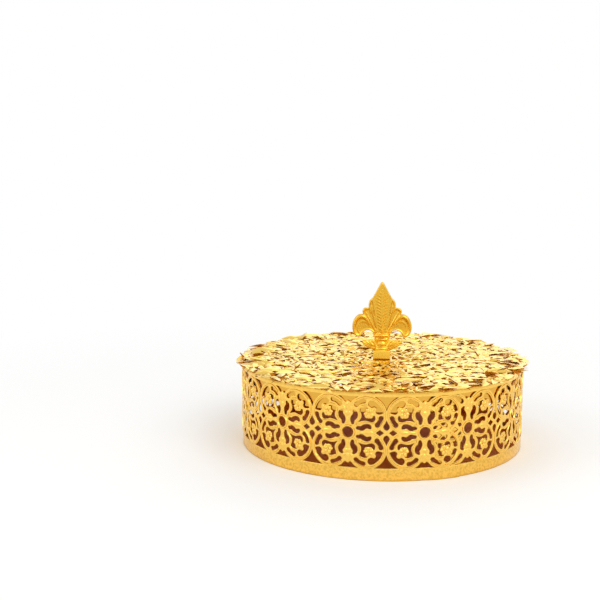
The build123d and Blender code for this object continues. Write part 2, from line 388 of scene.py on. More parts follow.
def petal_flower(centre, turn):
    """An embossed flower of five round petals about a bead."""
    petals = []
    for petal in range(5):
        angle = turn + petal * 2 * pi / 5
        x, y = turned(PETAL_REACH, 0, angle)
        petals.append(bead((centre[0] + x, centre[1] + y, 0.3), PETAL, angle))
    return petals + [bead((centre[0], centre[1], 0.4), (0.6, 0.6, 0.5))]


def raised_line(points, radius, closed=False, lift=0.0):
    """A rounded line that stands a little out of the sheet."""
    knots = [(x, y, 0.42 - 0.25 * radius + lift) for x, y in points]
    return bar("raised_line", knots, [radius] * len(knots), sides=1, steps=3, closed=closed)


def sheet_bosses(bosses, up):
    """Bosses that stand on the sheet's face, in the upper (1) or lower (-1) half."""
    return [bead((x, y * up, FACE_HEIGHT), half_sizes, turn * up) for (x, y), half_sizes, turn in bosses]


def half_rosette_reliefs():
    """The raised rings, vines, buds, leaves and flowers on half a rosette."""
    reliefs = []
    for up in (1, -1):
        ring = scaled(moved(arc(RING_BAR, -64, 134, 8), *RING), 1, up)
        reliefs.append(raised_line(ring, 0.7))
        reliefs.append(raised_line(scaled(FLAT_VINE, 1, up), 0.5))
        reliefs.append(raised_line(scaled(UPRIGHT_VINE, 1, up), 0.5))
        reliefs += petal_flower((FLOWER_PLACE[0], FLOWER_PLACE[1] * up), atan2(up, 1))
        reliefs += sheet_bosses(UPPER_BOSSES, up)
    reliefs += sheet_bosses(SPOKE_BOSSES, 1)
    return join(reliefs + [raised_line(circle(HUB_RING, 8), 0.7, True, 0.15)], "half_reliefs")


def bisect(place_x, clear):
    """Cuts the selected mesh across at a place along the strip, and clears what lies outside."""
    bpy.ops.mesh.bisect(
        plane_co=(place_x, 0, 0), plane_no=(1, 0, 0), clear_outer=clear == "right",
        clear_inner=clear == "left", use_fill=False, threshold=CUT_GAP)


def strip_length(sizes):
    return 2 * pi * BOX_RADIUS + sizes.lap / MM


def pattern_stretch(sizes):
    """How much the drawn pattern is stretched to fill the wall between its borders."""
    return (WALL_TOP - (sizes.low_border + sizes.top_border) / MM) / (2 * HALF_PATTERN)


def half_rosette_plate(sizes):
    """The pierced sheet of half a rosette, with its borders."""
    stretch = pattern_stretch(sizes)
    half_width = strip_length(sizes) / sizes.rosettes / 2 / stretch
    low = HALF_PATTERN + sizes.low_border / MM / stretch
    high = HALF_PATTERN + sizes.top_border / MM / stretch
    outlines = half_rosette_outlines(half_width, low, high)
    return cut_plate("half_rosette", outlines, sizes.sheet / MM, sizes.edge_rounding / MM, kerf=KERF)


def whole_strip(tile, sizes):
    """The whole strip, flat and with its first end at x = 0, from half a rosette."""
    half_width = strip_length(sizes) / sizes.rosettes / 2
    tile.data.transform(Matrix.Diagonal((pattern_stretch(sizes), pattern_stretch(sizes), 1, 1)))
    edit(tile, lambda: bisect(0, "left"), lambda: bisect(half_width, "right"))
    edit(tile, *[lambda at=at: bisect(half_width * at / BENDS, "none") for at in range(1, BENDS)])
    modify(tile, "MIRROR", merge_threshold=SEAM_GAP)
    modify(
        tile, "ARRAY", count=sizes.rosettes, use_relative_offset=False, use_constant_offset=True,
        constant_offset_displace=(2 * half_width, 0, 0), use_merge_vertices=True,
        merge_threshold=SEAM_GAP)
    tile.data.transform(Matrix.Translation((half_width, 0, 0)))
    return tile


def ease(x):
    """Goes smoothly from 0 to 1 as x does."""
    x = min(max(x, 0.0), 1.0)
    return x * x * (3 - 2 * x)


def roll_up(strip, sizes):
    """Bends the flat strip round the box, with its outer end lapped over its start."""
    pattern_middle = (WALL_TOP + (sizes.low_border - sizes.top_border) / MM) / 2
    sheet, lap, length = sizes.sheet / MM, sizes.lap / MM, strip_length(sizes)
    for vertex in strip.data.vertices:
        x, y, z = vertex.co
        back = length - x
        angle = sizes.lap_end - back / BOX_RADIUS
        lift = (sheet + JOGGLE_GAP) * (1 - ease((back - lap) / JOGGLE_LENGTH))
        radius = BOX_RADIUS - sheet / 2 + z + lift
        vertex.co = (radius * sin(angle), -radius * cos(angle), pattern_middle + y)
    return strip


class FRUITBOX_OT_wall(bpy.types.Operator):
    """Pierce, emboss and roll up the wall band"""

    bl_idname = "fruitbox.wall"
    bl_label = "Wall Band"

    def execute(self, context):
        sizes = context.scene.fruit_box_sizes
        brass = lacquered_brass(context.scene.fruit_box_colours.wall, sizes.low_border)
        halves = (half_rosette_plate(sizes), half_rosette_reliefs())
        for name, half in zip(("pierced_wall", "wall_reliefs"), halves):
            strip = roll_up(whole_strip(half, sizes), sizes)
            strip.name = name
            edit(strip, merge_doubles, lambda: bpy.ops.mesh.fill_holes(sides=0))
            hand_over(strip, "box", ["wall_band"], brass)
        return {"FINISHED"}


# Plain rounds: the floor plate and the lid's collar
ROUND_EDGE = 0.15


def round_band(name, inner, outer, low, high):
    """A ring or disc between two heights, with its edges slightly rounded."""
    outlines = [(circle(outer, 12), (), 12)]
    if inner > 0:
        outlines.append((circle(inner, 12), (), 12))
    ring = cut_plate(name, outlines, high - low, ROUND_EDGE, 0)
    ring.data.transform(Matrix.Translation((0, 0, (low + high) / 2)))
    return ring


class FRUITBOX_OT_rounds(bpy.types.Operator):
    """Make the floor plate and the lid's collar, and finish the washer and screw in zinc"""

    bl_idname = "fruitbox.rounds"
    bl_label = "Floor and Collar"

    def execute(self, context):
        colours = context.scene.fruit_box_colours
        floor = round_band("floor_plate", 0, FLOOR_RADIUS, 0, FLOOR_TOP)
        hand_over(floor, "box", ["base_plate"], floor_reflection_brown(colours.floor))
        sheet = context.scene.fruit_box_sizes.sheet / MM
        collar = round_band("collar_ring", COLLAR_RADIUS - sheet, COLLAR_RADIUS, COLLAR_LOW, COLLAR_TOP)
        hand_over(collar, "lid", ["lid_collar"], rolled_brass(colours.collar))
        steel = zinc_steel()
        for node in ("finial_washer", "finial_screw"):
            give_material(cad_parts[node], steel)
        return {"FINISHED"}


def give_material(obj, material):
    obj.data.materials.clear()
    obj.data.materials.append(material)


# The lid. Each leaf is modelled once and copied, and a map keeps what the copies cover
MAP_PITCH = 0.5
LID_BASE = WALL_TOP
LID_SHEET = 0.6
SHEET_OVERHANG = 2.5
SHEET_EDGE = 0.1
# Heights above the lid's base
RING_VINE_HEIGHT = 0.7
VINE_HEIGHT = 1.5
FLOWER_HEIGHT = 1.9
# Rings round the finial: their radius, how many stand on each, and the size or lean of each
SCROLL_RINGS = ((84.0, 16, 15.0), (53.5, 10, 15.0), (27.0, 6, 11.5))
OPENING_RINGS = ((87.5, 17, 35), (62.5, 12, -35), (37.5, 7, 35))
SCROLL_TURNS = 1.45
SCROLL_POINTS = 26
SCROLL_NARROWING = 0.76
VINE_RADIUS = 1.0
RING_VINE_RADIUS = 0.8
RING_KNOTS = 24
FLOWER_SHARE = 0.5
OPENING = (19.0, 3.2)
FINIAL_ROOM = 8.0
MIDDLE_PLATE = (FINIAL_ROOM + 3, 1.0)
EDGE_LEAVES = 64
EDGE_COURSES = (LID_RADIUS - 0.6, LID_RADIUS - 7)
SPRAYS = 16
SPRAY_LEAN = radians(58)
LEAF_THICKNESS = 0.6
# Between these distances from the middle, leaves grow from the smaller size to the full one
FINE_FIELD = (32.0, 52.0)
FINE_SIZES = (0.52, 1.0)
# Passes of filling leaves: their size, how many are tried, and how much of one may be covered
FILL_PASSES = ((1.0, 2600, 0.14), (0.8, 3200, 0.18), (0.62, 6000, 0.24), (0.46, 5200, 0.2))


class CoverMap:
    """Which cells of the lid's plan are covered."""

    def __init__(self, radius):
        self.radius = radius + 2
        count = int(2 * self.radius / MAP_PITCH) + 1
        self.cells = np.zeros((count, count), bool)

    def index(self, points):
        cells = ((points + self.radius) / MAP_PITCH).astype(int)
        return tuple(np.clip(cells, 0, len(self.cells) - 1).T)

    def covered_share(self, points):
        return self.cells[self.index(points)].mean()

    def cover(self, points):
        self.cells[self.index(points)] = True

    def cover_disc(self, centre, radius):
        x, y = np.indices(self.cells.shape) * MAP_PITCH - self.radius
        self.cells[np.hypot(x - centre[0], y - centre[1]) < radius] = True


def leaf_half_width(along):
    """A leaf's half width as a share of its widest, from stalk to tip."""
    return sin(pi * along ** 0.85) ** 0.8 if 0 < along < 1 else 0.0


def lid_openings():
    """The sheet's leaf-shaped openings, in whorls: the middle and heading of each."""
    found = []
    for radius, count, lean in OPENING_RINGS:
        for i in range(count):
            around = 2 * pi * i / count
            found.append((radius * cos(around), radius * sin(around), around + radians(lean)))
    return found


def opening_outline(x, y, heading):
    """A pointed opening with bowed sides."""
    half, side = OPENING[0] / 2, OPENING[1]
    shape = [(half, 0), (0.15 * half, side * 0.9), (-half, 0), (-0.15 * half, -side * 0.9)]
    return moved([turned(*point, heading) for point in shape], x, y)


def lid_sheet():
    """The thin sheet under the leaves, pierced with the leaf-shaped openings."""
    outlines = [(circle(COLLAR_RADIUS + SHEET_OVERHANG, 12), (), 12)]
    outlines += [(opening_outline(*opening), (0, 2), 3) for opening in lid_openings()]
    sheet = cut_plate("lid_sheet", outlines, LID_SHEET, SHEET_EDGE, 0)
    sheet.data.transform(Matrix.Translation((0, 0, LID_BASE + LID_SHEET / 2)))
    return sheet


def leaf_footprint():
    """Points spread over a leaf of length 1 and half width 1, as an array."""
    shares = [(i + 0.5) / 12 for i in range(12)]
    return np.array([(a, b * leaf_half_width(a)) for a in shares for b in (-0.9, -0.45, 0, 0.45, 0.9)])


def model_leaf(name, ridge, sickle, arch):
    """A leaf of length 1 and half width 1 along X, raised or grooved along its middle rib."""
    bpy.ops.mesh.primitive_grid_add(x_subdivisions=5, y_subdivisions=2, size=1)
    leaf = bpy.context.object
    leaf.name = name
    for vertex in leaf.data.vertices:
        along, across = vertex.co.x + 0.5, 2 * vertex.co.y
        swell = sin(pi * along ** 0.8)
        height = arch * swell + ridge * (1 - abs(across)) * swell
        vertex.co = (along, across * leaf_half_width(along) + sickle * swell, height)
    modify(leaf, "SOLIDIFY", thickness=LEAF_THICKNESS, offset=-1, use_even_offset=False)
    return edit(leaf, merge_doubles, face_outwards)


class Leaf:
    """Where a copy of a leaf lies: its stalk, its heading, its tilts and its size."""

    def __init__(self, x, y, heading, length, half_width, height=0.9, pitch=0.0, roll=0.0, kind=0):
        self.stalk, self.heading, self.length, self.half_width = (x, y), heading, length, half_width
        self.height, self.pitch, self.roll, self.kind = height, pitch, roll, kind

    def footprint(self, shape):
        points = shape * (self.length, self.half_width)
        c, s = cos(self.heading), sin(self.heading)
        return points @ np.array([[c, s], [-s, c]]) + np.array(self.stalk)

    def matrix(self):
        turn = Euler((self.roll, self.pitch, self.heading), "XYZ").to_matrix().to_4x4()
        size = Matrix.Diagonal((self.length, self.half_width, 1, 1))
        return Matrix.Translation((*self.stalk, LID_BASE + self.height)) @ turn @ size


def copies(name, template_places):
    """One object with a copy of each template at each of its matrices."""
    points, faces = [], []
    for template, places in template_places:
        base = np.array([(*v.co, 1) for v in template.data.vertices])
        loops = [tuple(p.vertices) for p in template.data.polygons]
        for matrix in places:
            start = len(points)
            points.extend((base @ np.array(matrix).T)[:, :3])
            faces.extend(tuple(start + i for i in loop) for loop in loops)
    mesh = bpy.data.meshes.new(name)
    mesh.from_pydata([tuple(p) for p in points], [], faces)
    return place(mesh, name)


def leaf_growth(radius):
    """The size of the leaves at a distance from the middle: finer round the finial."""
    return float(np.interp(radius, FINE_FIELD, FINE_SIZES))


def edge_leaves(random, length, half_width):
    """Two courses of leaves along the lid's edge, in sprays that lean one way and then the other."""
    leaves = []
    for course, tip_radius in enumerate(EDGE_COURSES):
        for i in range(EDGE_LEAVES):
            around = 2 * pi * (i + 0.5 * course) / EDGE_LEAVES + random.uniform(-0.012, 0.012)
            spray = sin(around * SPRAYS + course)
            lean = SPRAY_LEAN * spray + random.uniform(-0.12, 0.12)
            long = length * random.uniform(0.8, 1.05)
            heading = around + lean
            reach = tip_radius - random.uniform(0.0, 2.2) * (1 + course)
            tip = (reach * cos(around), reach * sin(around))
            stalk = (tip[0] - long * cos(heading), tip[1] - long * sin(heading))
            leaves.append(Leaf(
                *stalk, heading, long, half_width * random.uniform(0.75, 1.0), 1.3 + 0.3 * course,
                pitch=random.uniform(-0.08, 0.1) - 0.09 * course, roll=random.uniform(-0.45, 0.45),
                kind=random.randrange(3)))
    return leaves


def scroll_line(centre, size, start, way):
    """A vine that winds inwards: its points and its directions."""
    line = []
    for i in range(SCROLL_POINTS):
        t = i / (SCROLL_POINTS - 1)
        angle = start + way * 2 * pi * SCROLL_TURNS * t
        radius = size * (1 - SCROLL_NARROWING * t)
        inward = -SCROLL_NARROWING * size
        onward = way * 2 * pi * SCROLL_TURNS * radius
        heading = atan2(
            inward * sin(angle) + onward * cos(angle), inward * cos(angle) - onward * sin(angle))
        line.append((centre[0] + radius * cos(angle), centre[1] + radius * sin(angle), heading))
    return line


def scrolls():
    """The lid's winding vines, in rings round the finial. Each is its line, size, way and centre."""
    found = []
    for radius, count, size in SCROLL_RINGS:
        for i in range(count):
            around = 2 * pi * (i + 0.25) / count
            way = 1 if i % 2 else -1
            centre = (radius * cos(around), radius * sin(around))
            found.append((scroll_line(centre, size, around + way * 2.2, way), size, way, centre))
    return found


def scroll_leaves(random, line, way, length, half_width):
    """Leaves that grow from both sides of a vine."""
    leaves = []
    for i in range(0, len(line) - 2, 2):
        x, y, heading = line[i]
        share = 1 - 0.5 * i / len(line)
        for side, lean, shrink in ((-way, 0.5, 1.0), (way, 0.62, 0.7)):
            leaves.append(Leaf(
                x, y, heading + side * (lean + random.uniform(-0.15, 0.15)),
                length * share * shrink * random.uniform(0.85, 1.1),
                half_width * share * random.uniform(0.85, 1.1),
                1.2, pitch=random.uniform(-0.08, 0.02), roll=random.uniform(-0.25, 0.25),
                kind=random.randrange(3)))
    return leaves


def loose_leaves(random, covered, shape, length, half_width):
    """Leaves that fill the gaps, from large to small, each where little is covered yet."""
    leaves = []
    for size, tries, limit in FILL_PASSES:
        for _ in range(tries):
            radius = (LID_RADIUS - 3) * sqrt(random.random())
            around = random.uniform(0, 2 * pi)
            heading = around + pi / 2 + random.choice((0, pi)) + random.uniform(-0.7, 0.7)
            large = size * leaf_growth(radius)
            leaf = Leaf(
                radius * cos(around), radius * sin(around), heading,
                length * large, half_width * large ** 0.7, random.uniform(0.5, 1.0),
                random.uniform(-0.07, 0.05), random.uniform(-0.22, 0.22), random.randrange(3))
            points = leaf.footprint(shape)
            reach = np.hypot(*points.T)
            on_lid = FINIAL_ROOM <= reach.min() and reach.max() <= LID_RADIUS - 2
            if on_lid and covered.covered_share(points) <= limit:
                covered.cover(points)
                leaves.append(leaf)
    return leaves


def laid_out_leaves(random, length, half_width):
    """All the lid's leaves, less those that would hide an opening or lie on too many others."""
    covered, openings = CoverMap(LID_RADIUS), CoverMap(LID_RADIUS)
    shape = leaf_footprint()
    leaves = []
    for x, y, heading in lid_openings():
        stalk = (x - 0.4 * OPENING[0] * cos(heading), y - 0.4 * OPENING[0] * sin(heading))
        hole = Leaf(*stalk, heading, 0.8 * OPENING[0], 0.7 * OPENING[1]).footprint(shape)
        openings.cover(hole)
        covered.cover(hole)
    wanted = edge_leaves(random, length, half_width)
    for line, size, way, centre in scrolls():
        covered.cover(np.array([(x, y) for x, y, _ in line]))
        covered.cover_disc(centre, FLOWER_SHARE * size)
        large = leaf_growth(hypot(*centre))
        wanted += scroll_leaves(random, line, way, length * 0.8 * large, half_width * 0.85 * large)
    for leaf in wanted:
        points = leaf.footprint(shape)
        reach = np.hypot(*points.T)
        clear = covered.covered_share(points) < 0.45 and openings.covered_share(points) < 0.2
        if clear and FINIAL_ROOM < reach.min() and reach.max() < LID_RADIUS:
            covered.cover(points)
            leaves.append(leaf)
    return leaves + loose_leaves(random, covered, shape, length, half_width)


def model_flower():
    """A six-petalled flower whose petals are 1 long, with a bead in its middle."""
    petal = model_leaf("petal", 0.35, 0.0, 0.5)
    slim = Matrix.Diagonal((1, 0.3, 1, 1))
    places = [Euler((0, -0.25, 2 * pi * i / 6)).to_matrix().to_4x4() @ slim for i in range(6)]
    star = copies("flower", [(petal, places)])
    bpy.data.objects.remove(petal)
    return join([star, bead((0, 0, 0.4), (0.24, 0.24, 0.75), segments=10)], "flower")


def lid_vines():
    """The winding vines, the rings they start from and a plate under the finial."""
    pieces = []
    for line, *_ in scrolls():
        knots = line[::2]
        points = [(x, y, LID_BASE + VINE_HEIGHT) for x, y, _ in knots]
        radii = [VINE_RADIUS - 0.35 * i / len(knots) for i in range(len(knots))]
        pieces.append(bar("vine", points, radii, sides=1, steps=2))
    for radius, _, size in SCROLL_RINGS:
        for reach in (radius - size, radius + size):
            ring = [(x, y, LID_BASE + RING_VINE_HEIGHT) for x, y in circle(reach, RING_KNOTS)]
            pieces.append(bar("ring_vine", ring, [RING_VINE_RADIUS] * RING_KNOTS, sides=1, closed=True))
    plate_radius, plate_thickness = MIDDLE_PLATE
    pieces.append(round_band("middle_plate", 0, plate_radius, LID_BASE, LID_BASE + plate_thickness))
    return join(pieces, "lid_vines")


class FRUITBOX_OT_lid(bpy.types.Operator):
    """Lay out and model the lid's leaves, vines and flowers"""

    bl_idname = "fruitbox.lid"
    bl_label = "Filigree Lid"

    def execute(self, context):
        sizes, colours = context.scene.fruit_box_sizes, context.scene.fruit_box_colours
        random = Random(sizes.seed)
        leaves = laid_out_leaves(random, sizes.leaf_length / MM, sizes.leaf_width / 2 / MM)
        templates = [
            model_leaf("ridged_leaf", 1.0, 0.12, 0.4), model_leaf("grooved_leaf", -0.5, -0.1, 1.1),
            model_leaf("arched_leaf", 0.7, 0.0, 0.9)]
        places = [[leaf.matrix() for leaf in leaves if leaf.kind == kind] for kind in range(3)]
        foliage = copies("lid_leaves", list(zip(templates, places)))
        flower = model_flower()
        spots = []
        for _, size, _, centre in scrolls():
            turn = Matrix.Rotation(random.uniform(0, pi), 4, "Z")
            spread = Matrix.Diagonal((FLOWER_SHARE * size, FLOWER_SHARE * size, 1, 1))
            spots.append(Matrix.Translation((*centre, LID_BASE + FLOWER_HEIGHT)) @ turn @ spread)
        flowers = copies("lid_flowers", [(flower, spots)])
        for template in templates + [flower]:
            bpy.data.objects.remove(template)
        gilt = bright_gilt(colours.lid)
        for piece in (foliage, flowers, lid_vines(), lid_sheet()):
            hand_over(piece, "lid", ["lid_filigree"], gilt, 50)
        return {"FINISHED"}


# The finial. Its right half is drawn looking at its front, as across and up, and mirrored
FOOT = (13.0, 10.4)
FOOT_TAPER = (0.92, 0.86)
FOOT_TOP = 66.2
DRAWN_TIP = 116.2
DRAWN_HEIGHTS = (0, FOOT_TOP, 78.0, DRAWN_TIP)
CAST_HEIGHTS = (0, FOOT_TOP, 76.4, DRAWN_TIP)
TIP_BLUNTING = 0.9
VOXEL = 0.3
SPEAR = [
    (0, DRAWN_TIP), (1.9, 113.8), (4.3, 109.5), (6.3, 105.9), (7.3, 103.9), (6.9, 101.0), (5.9, 97.5),
    (5.0, 92.5), (4.3, 86.0), (3.9, 79.0), (0, 79.0)]
UPPER_LOBE = [
    (6.0, 105.0), (7.7, 104.2), (8.9, 102.2), (9.6, 99.8), (9.4, 98.0), (8.6, 96.4), (7.6, 93.0), (6.4, 88.0),
    (5.0, 83.0), (3.5, 80.0), (2.5, 81.0), (3.6, 88.0), (5.0, 96.0)]
LOWER_LOBE = [
    (8.6, 97.7), (10.6, 98.1), (12.7, 97.4), (14.0, 95.9), (13.9, 94.2), (12.9, 92.8), (11.6, 91.0),
    (9.6, 87.5), (7.4, 83.5), (5.4, 80.2), (3.2, 80.2), (4.8, 86.0), (6.8, 92.5)]
SCROLL_FIELD = [
    (5.0, 79.0), (7.4, 81.2), (10.0, 81.9), (12.6, 81.2), (14.3, 79.4), (15.3, 77.5), (17.0, 76.9),
    (18.9, 77.9), (20.4, 80.2), (21.2, 83.2), (21.0, 86.4), (19.7, 89.6), (17.5, 92.0), (14.8, 92.9),
    (12.4, 91.9), (9.8, 88.6), (7.2, 84.0)]
FAN = [
    (3.0, 75.4), (5.6, 74.8), (8.0, 73.9), (10.6, 73.8), (12.8, 74.6), (14.2, 74.0), (14.2, 72.2),
    (13.2, 70.3), (11.4, 68.7), (9.4, 67.4), (7.6, 66.5), (6.2, 65.8), (2.5, 65.8)]
NECK = [(0, 79.6), (5.2, 79.4), (4.9, 75.0), (3.6, 72.0), (3.8, 68.0), (4.8, 66.0), (0, 66.0)]

# Mouldings on the front: points of across and up, the radius at each, and how far forward they lie
MOULDINGS = {
    "spear_rim": (
        [(0.6, 114.6), (3.6, 109.4), (6.5, 104.2), (6.0, 99.6), (4.9, 94.0), (3.9, 86.0), (3.4, 81.0)],
        [0.45] * 7, 1.9),
    "lobe_rim": (
        [(6.6, 104.6), (8.2, 102.8), (9.1, 100.2), (8.9, 97.8), (8.0, 94.5)],
        [0.45, 0.65, 0.75, 0.6, 0.35], 1.5),
    "lower_rim": (
        [(8.9, 97.3), (11.2, 97.4), (13.3, 96.0), (13.3, 94.2), (12.1, 92.0)],
        [0.4, 0.75, 0.85, 0.6, 0.3], 1.3),
    "lobe_stem": ([(3.4, 82.0), (5.2, 89.0), (6.7, 95.0), (7.6, 99.4)], [0.55, 0.5, 0.45, 0.3], 1.7),
    "lower_stem": ([(4.4, 81.5), (7.2, 86.6), (9.6, 91.0), (11.6, 94.8)], [0.55, 0.5, 0.45, 0.3], 1.4),
    "scroll_rim": (
        [(8.7, 86.0), (10.9, 89.5), (13.2, 91.5), (15.6, 91.8), (17.9, 90.3), (19.6, 87.6), (20.3, 84.3),
         (19.9, 81.2), (18.6, 78.8), (17.0, 78.0)],
        [0.7, 1.1, 1.45, 1.55, 1.5, 1.35, 1.2, 1.05, 0.95, 0.85], 1.0),
    "scroll_ridge": (
        [(8.0, 83.8), (10.4, 87.0), (13.2, 88.3), (15.8, 87.5), (17.3, 85.2), (17.2, 82.2), (16.2, 79.9)],
        [0.25, 0.35, 0.4, 0.4, 0.35, 0.3, 0.25], 1.1),
    "opening_rim": (
        [(15.8, 78.2), (14.7, 80.3), (12.7, 81.9), (10.0, 82.6), (7.4, 81.9), (5.6, 80.4)],
        [0.55] * 6, 1.1),
    "fan_rim": (
        [(5.0, 74.6), (8.0, 74.0), (10.6, 73.8), (13.0, 74.3), (13.9, 73.2)],
        [0.5, 0.5, 0.55, 0.65, 0.7], 1.8),
}
FLUTE_ROOT = (3.6, 68.6)
FLUTE_ENDS = [(6.2, 74.0), (8.8, 73.3), (11.3, 73.4), (13.4, 72.8), (12.9, 70.9), (11.0, 69.2), (8.6, 67.7)]
VEINS = 13
VEIN_PITCH = 2.1
LOWEST_VEIN = 82.0


def upright_plate(outline, thickness, rounding, corners=()):
    """A cast plate that stands across the box, from an outline of across and up."""
    plate = cut_plate("casting", [(outline, corners, 3)], thickness, rounding)
    plate.data.transform(Matrix.Rotation(pi / 2, 4, "X"))
    return plate


def front_bar(points, radii, depth):
    """A round moulding on the finial's front, from points of across and up."""
    return bar("moulding", [(x, -depth, z) for x, z in points], radii, sides=2, steps=5)


def finial_reliefs():
    """The rims, ribs and flutes on the front of the finial's right half."""
    reliefs = [front_bar(*moulding) for moulding in MOULDINGS.values()]
    for end in FLUTE_ENDS:
        middle = ((FLUTE_ROOT[0] + end[0]) / 2, (FLUTE_ROOT[1] + end[1]) / 2 - 0.5)
        reliefs.append(front_bar([FLUTE_ROOT, middle, end], [0.5, 0.8, 0.8], 2.1))
    return reliefs


def finial_veins():
    """The middle leaf's rib and its slanting veins."""
    veins = [front_bar([(0, 81), (0, 96), (0, 111)], [0.6, 0.6, 0.4], 2.0)]
    for i in range(VEINS):
        low = LOWEST_VEIN + VEIN_PITCH * i
        reach = min(2.6 + 0.09 * (low - LOWEST_VEIN), (112 - low) * 0.45)
        points = [(0.2, low), (reach * 0.6, low + 1.5), (reach, low + 2.2)]
        veins.append(front_bar(points, [0.28, 0.36, 0.26], 2.06))
    return veins


def finial_stem():
    """The band, the vase under it and the foot."""
    pieces = []
    for height, half, deep in ((78.6, 5.5, 3.0), (75.5, 4.7, 2.8)):
        ring = [(x * half, y * deep, height) for x, y in circle(1, 12)]
        pieces.append(bar("band", ring, [0.95] * 12, closed=True, steps=3))
    pieces.append(bead((0, 0, 71.2), (4.3, 3.3, 3.6), segments=24, rings=16))
    pieces.append(bead((0, 0, 67.4), (5.6, 4.2, 2.0), segments=24, rings=16))
    bpy.ops.mesh.primitive_cube_add(size=1, location=(0, 0, (FINIAL_LOW + FOOT_TOP) / 2))
    foot = bpy.context.object
    foot.scale = (*FOOT, FOOT_TOP - FINIAL_LOW)
    bpy.ops.object.transform_apply(location=True, rotation=True, scale=True)
    for vertex in foot.data.vertices:
        if vertex.co.z > (FINIAL_LOW + FOOT_TOP) / 2:
            vertex.co.x *= FOOT_TAPER[0]
            vertex.co.y *= FOOT_TAPER[1]
    modify(foot, "BEVEL", width=0.7, segments=3)
    return pieces + [foot]


class FRUITBOX_OT_finial(bpy.types.Operator):
    """Model the cast flower that serves as the lid's handle, and gild its seat"""

    bl_idname = "fruitbox.finial"
    bl_label = "Finial"

    def execute(self, context):
        plates = [
            upright_plate(mirrored_shape(SPEAR), 4.2, 0.9, (10,)),
            upright_plate(UPPER_LOBE, 3.0, 0.8),
            upright_plate(LOWER_LOBE, 2.6, 0.8),
            upright_plate(SCROLL_FIELD, 2.4, 0.7),
            upright_plate(FAN, 4.2, 1.0),
            upright_plate(mirrored_shape(NECK), 5.0, 0.8),
        ]
        finial = join(plates + finial_reliefs() + finial_veins() + finial_stem(), "cast_finial")
        modify(finial, "MIRROR", use_axis=(True, True, False), use_mirror_merge=False)
        modify(finial, "REMESH", mode="VOXEL", voxel_size=VOXEL)
        modify(finial, "SMOOTH", factor=0.5, iterations=2)
        fit_finial(finial)
        gilding = gilded_casting(context.scene.fruit_box_colours.finial)
        hand_over(finial, "lid", ["finial"], gilding, 180)
        give_material(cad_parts["finial_seat"], gilding)
        return {"FINISHED"}


def fit_finial(finial):
    """Stretches the casting a little, to the height and width of its frame."""
    points = [v.co for v in finial.data.vertices]
    for point in points:
        point.z = float(np.interp(point.z, DRAWN_HEIGHTS, CAST_HEIGHTS))
    tip, half = max(p.z for p in points), max(p.x for p in points)
    tall = (FINIAL_TIP - TIP_BLUNTING - FINIAL_LOW) / (tip - FINIAL_LOW)
    for point in points:
        point.z = FINIAL_LOW + max(point.z - FINIAL_LOW, 0) * tall
        point.x *= FINIAL_HALF / half


# Finishes


def add(tree, kind, inputs=None, **settings):
    """Adds a node with its settings, and fills its inputs with values or links."""
    made = tree.nodes.new("ShaderNode" + kind)
    for name, value in settings.items():
        setattr(made, name, value)
    for name, value in (inputs or {}).items():
        if isinstance(value, bpy.types.NodeSocket):
            tree.links.new(value, made.inputs[name])
        else:
            made.inputs[name].default_value = value
    return made


def new_finish(name, metallic=1.0):
    """A shader, its tree and the pattern's place on the piece in metres."""
    material = bpy.data.materials.new(name)
    material.use_nodes = True
    tree = material.node_tree
    shader = tree.nodes["Principled BSDF"]
    shader.inputs["Metallic"].default_value = metallic
    return material, tree, shader, add(tree, "TexCoord").outputs["Object"]


def tint(colour, *shares):
    """Another tone of a linear colour: one share of it all, or one each of red, green and blue."""
    shares = shares * 3 if len(shares) == 1 else shares
    return [min(c * share, 1.0) for c, share in zip(colour[:3], shares)] + [1.0]


def recess_shade_mask(tree, reach):
    """The mask for painted recess shade: 0 in a recess that is narrow for this reach, 1 where nothing is
    near.
    """
    # Ambient occlusion finds the recesses that get painted shade.
    seen = add(tree, "AmbientOcclusion", {"Distance": reach}, samples=8).outputs["AO"]
    return add(tree, "MapRange", {"Value": seen, "From Min": 0.25, "From Max": 0.9}).outputs["Result"]


def painted_recess_shade(tree, colour, reach, shares):
    """The colour where the surface is open, going over to a deeper painted shade in recesses."""
    tones = {"A": tint(colour, *shares), "B": colour[:]}
    tone = add(tree, "Mix", {"Factor": recess_shade_mask(tree, reach), **tones}, data_type="RGBA")
    return tone.outputs["Result"]


def lacquered_brass(colour, low_border):
    """Lacquered brass sheet, stamped and pierced: clear yellow, with ripples from the stamp.

    It is mottled most on the plain low border, and its recesses are darkened with painted shade.
    """
    material, tree, shader, at = new_finish("lacquered_brass")
    mottle = add(tree, "TexNoise", {"Vector": at, "Scale": 1 / (1.6 * MM), "Detail": 3.0})
    height = add(tree, "SeparateXYZ", {"Vector": at}).outputs["Z"]
    border = add(
        tree, "MapRange",
        {"Value": height, "From Min": low_border - 1.1 * MM, "From Max": low_border + 0.1 * MM,
         "To Min": 0.5, "To Max": 0.15})
    dips = add(tree, "MapRange", {"Value": mottle.outputs["Fac"], "From Min": 0.56, "From Max": 0.36})
    depth = add(tree, "Math", {0: dips.outputs["Result"], 1: border.outputs["Result"]}, operation="MULTIPLY")
    # Painted shade: the brass goes deeper and browner in its recesses.
    sheet = painted_recess_shade(tree, colour, 1.9 * MM, (0.55, 0.44, 0.2))
    dull = tint(colour, 0.6, 0.5, 0.34)
    tone = add(tree, "Mix", {"Factor": depth.outputs[0], "A": sheet, "B": dull}, data_type="RGBA")
    tree.links.new(tone.outputs["Result"], shader.inputs["Base Color"])
    gloss = add(tree, "MapRange", {"Value": mottle.outputs["Fac"], "To Min": 0.32, "To Max": 0.16})
    tree.links.new(gloss.outputs["Result"], shader.inputs["Roughness"])
    ripple = add(tree, "TexNoise", {"Vector": at, "Scale": 1 / (2.2 * MM), "Detail": 2.0})
    bump = add(tree, "Bump", {"Height": ripple.outputs["Fac"], "Strength": 0.5, "Distance": 0.3 * MM})
    tree.links.new(bump.outputs["Normal"], shader.inputs["Normal"])
    return material


